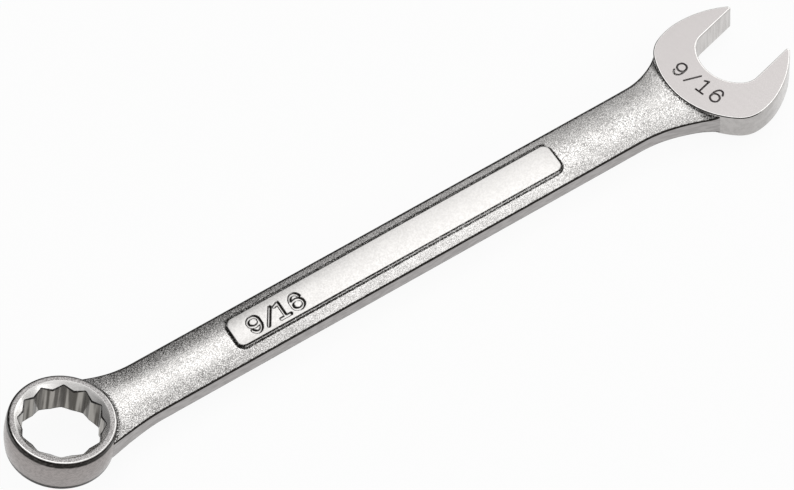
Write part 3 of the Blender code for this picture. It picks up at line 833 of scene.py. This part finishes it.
# Edges broken on a buffing wheel, and painted paler than the metal round them: a painted highlight, a thin
# bright line round the head and the ring
buffed_highlight_edge = chrome("buffed_edge_chrome", "#e6e4e2", "#dad8d6", 0.16, 0.6, 0.001, rough_span=0.02)
# Ground faces of the ring: satin and slightly mottled, darker than the cones and edges beside them
ring_face = chrome("ground_ring_chrome", "#a8a6a5", "#827f7e", 0.32, 0.25, 0.006, rough_span=0.03)
# Polished outer wall of the head: even and bright, with a soft mirror of the floor
polished = chrome("polished_chrome", "#cbc8c6", "#c6c3c1", 0.2, 1.2, 0.001)
# Polished outer wall of the ring: a darker mirror with short marks along the polishing direction
ring_wall = chrome("polished_ring_chrome", "#a39d9b", "#96918f", 0.24, 0.35, 0.002, stretch=(2, 2, 1))
# Broached socket walls: marks run straight through, so that the facets show as light and dark strips
broached = chrome("broached_chrome", "#a09d98", "#575450", 0.12, 0.9, 0.003, stretch=(1, 1, 20),
                  turn=(0, RING_TILT, 0))
# Broached jaw flats and throat: the same marks, paler and finer
jaw_flat = chrome("broached_jaw_chrome", "#d2cfcd", "#c6c3c1", 0.22, 0.4, 0.001, stretch=(1, 1, 20))
# Turned lead-in cones: the palest metal, a bright band round the socket
lead_in = chrome("turned_chrome", "#f6f4f2", "#eceae8", 0.26, 0.4, 0.002)

box_end = ring([ring_wall, ring_face, broached, lead_in, buffed_highlight_edge])
shank = bar([blasted, panel_top, trimmed_edge])
open_end = head([ground, polished, jaw_flat, buffed_highlight_edge])
for obj, node, slot in ((box_end, "box_end", "polished_chrome_box_end"),
                        (shank, "shank", "satin_chrome_shank"),
                        (open_end, "open_end", "polished_chrome_open_end")):
    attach(obj, "root")
    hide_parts(node)


def floor():
    """A pale floor: white to the camera and to reflections near the wrench, keeping a soft shadow."""
    mesh = bpy.data.meshes.new("floor")
    corners = [(x * FLOOR_HALF, y * FLOOR_HALF, 0) for x, y in ((-1, -1), (1, -1), (1, 1), (-1, 1))]
    mesh.from_pydata(corners, [], [(0, 1, 2, 3)])
    paper = bpy.data.materials.new("white_paper")
    paper.use_nodes = True
    tree = paper.node_tree
    tree.nodes.clear()
    light = add(tree, "ShaderNodeLightPath")
    glossy = add(tree, "ShaderNodeMath", {0: light.outputs["Is Glossy Ray"], 1: FLOOR_REFLECTED},
                 operation="MULTIPLY")
    direct = add(tree, "ShaderNodeMath", {0: light.outputs["Is Camera Ray"], 1: FLOOR_SEEN},
                 operation="MULTIPLY")
    either = add(tree, "ShaderNodeMath", {0: direct.outputs[0], 1: glossy.outputs[0]}, operation="MAXIMUM")
    place = add(tree, "ShaderNodeTexCoord").outputs["Object"]
    away = add(tree, "ShaderNodeVectorMath", {0: place}, operation="LENGTH").outputs["Value"]
    fade_start, fade_end = FLOOR_FADE
    fall = add(tree, "ShaderNodeMapRange", {"Value": away, "From Min": fade_start, "From Max": fade_end,
                                            "To Min": 1.0, "To Max": FLOOR_FAR_SHARE},
               interpolation_type="SMOOTHSTEP")
    share = add(tree, "ShaderNodeMath", {0: either.outputs[0], 1: fall.outputs["Result"]},
                operation="MULTIPLY")
    matt = add(tree, "ShaderNodeBsdfDiffuse", {"Color": linear("#f2f2f2")})
    white = add(tree, "ShaderNodeEmission", {"Color": (1, 1, 1, 1), "Strength": 1.0})
    mixed = add(tree, "ShaderNodeMixShader", {0: share.outputs[0], 1: matt.outputs[0], 2: white.outputs[0]})
    add(tree, "ShaderNodeOutputMaterial", {"Surface": mixed.outputs[0]})
    mesh.materials.append(paper)
    obj = bpy.data.objects.new("floor", mesh)
    obj.location.z = -FLOOR_GAP
    bpy.context.collection.objects.link(obj)


def studio():
    """A plain studio: a room whose light rises towards a tilted top, even and pale to the camera, and five
    soft boxes."""
    world = bpy.data.worlds.new("studio")
    bpy.context.scene.world = world
    world.use_nodes = True
    tree = world.node_tree
    place = add(tree, "ShaderNodeTexCoord").outputs["Generated"]
    height = add(tree, "ShaderNodeVectorMath", {0: place, 1: ROOM_UP}, operation="DOT_PRODUCT")
    ramp = add(tree, "ShaderNodeValToRGB", {"Fac": height.outputs["Value"]})
    elements = ramp.color_ramp.elements
    for element, (position, level) in zip(elements, (ROOM_LEVELS[0], ROOM_LEVELS[-1])):
        element.position = position
        element.color = (level, level, level, 1)
    for position, level in ROOM_LEVELS[1:-1]:
        elements.new(position).color = (level, level, level, 1)
    seen = add(tree, "ShaderNodeLightPath").outputs["Is Camera Ray"]
    room = add(tree, "ShaderNodeMix", {"Factor": seen, 6: ramp.outputs["Color"],
                                       7: (ROOM_SEEN, ROOM_SEEN, ROOM_SEEN, 1)}, data_type="RGBA")
    tree.links.new(room.outputs[2], tree.nodes["Background"].inputs["Color"])
    for name, spot, size, level in SOFT_BOXES:
        lamp = bpy.data.lights.new(name, "AREA")
        lamp.shape = "RECTANGLE"
        lamp.size, lamp.size_y = size
        lamp.energy = level * math.pi * size[0] * size[1]
        obj = bpy.data.objects.new(name, lamp)
        obj.location = spot
        obj.rotation_euler = Vector(spot).to_track_quat("Z", "Y").to_euler()
        bpy.context.collection.objects.link(obj)


def camera():
    """The photograph's view: a long lens from above the near side of the box end, slightly rolled."""
    azimuth, elevation, roll = (math.radians(angle) for angle in CAMERA_ANGLES.values())
    target = Vector(ORIGIN + CAMERA_TARGET) * MM
    back = Vector((math.sin(azimuth) * math.cos(elevation), -math.cos(azimuth) * math.cos(elevation),
                   math.sin(elevation)))
    level = Vector((math.cos(azimuth), math.sin(azimuth), 0))
    upright = back.cross(level)
    right = math.cos(roll) * level + math.sin(roll) * upright
    up = math.cos(roll) * upright - math.sin(roll) * level
    data = bpy.data.cameras.new("camera")
    data.sensor_width = CAMERA_SENSOR
    data.lens = CAMERA_LENS
    data.clip_start = CAMERA_CLIP * MM
    obj = bpy.data.objects.new("camera", data)
    turn = Matrix((right, up, back)).transposed().to_4x4()
    obj.matrix_world = Matrix.Translation(target + back * CAMERA_DISTANCE * MM) @ turn
    bpy.context.collection.objects.link(obj)
    bpy.context.scene.camera = obj


floor()
studio()
camera()
bpy.context.scene.view_settings.view_transform = "Standard"
